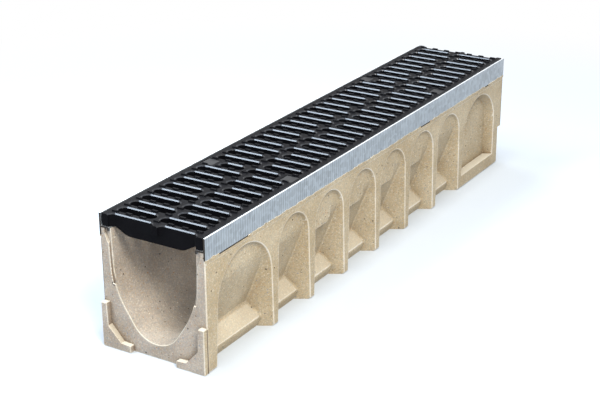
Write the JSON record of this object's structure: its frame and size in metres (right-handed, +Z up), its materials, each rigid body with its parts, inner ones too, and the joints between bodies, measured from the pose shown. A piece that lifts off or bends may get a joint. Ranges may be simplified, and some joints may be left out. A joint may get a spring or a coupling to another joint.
{
  "type": "channel drain",
  "caption": "One-metre drainage channel: cast trough with steel edge rails and slotted cast-iron gratings held by snap locks.",
  "frame": {"origin": "on the bed, under the middle of the whole object", "axes": "+X across the channel, +Y along it from the spigot end to the socket end, +Z up"},
  "size_m": [0.185, 1.0088, 0.212],
  "materials": {
    "polymer_concrete": "matte",
    "galvanised_steel": "satin",
    "coated_cast_iron": "gloss",
    "lock_plastic": "satin"
  },
  "bodies": {
    "trough": {"channel_body": "polymer_concrete", "edge_rail_right": "galvanised_steel", "edge_rail_left": "galvanised_steel"},
    "front_grating": {"grating_front": "coated_cast_iron", "lock_front_right": "lock_plastic", "lock_front_left": "lock_plastic"},
    "rear_grating": {"grating_rear": "coated_cast_iron", "lock_rear_right": "lock_plastic", "lock_rear_left": "lock_plastic"}
  },
  "joints": [
    {"name": "front_grating_lift", "type": "slide", "parent": "trough", "child": "front_grating", "axis": [0, 0, 1], "range_m": [0, 0.06], "deforming": ["lock_front_right", "lock_front_left"]},
    {"name": "rear_grating_lift", "type": "slide", "parent": "trough", "child": "rear_grating", "axis": [0, 0, 1], "range_m": [0, 0.06], "deforming": ["lock_rear_right", "lock_rear_left"]}
  ]
}
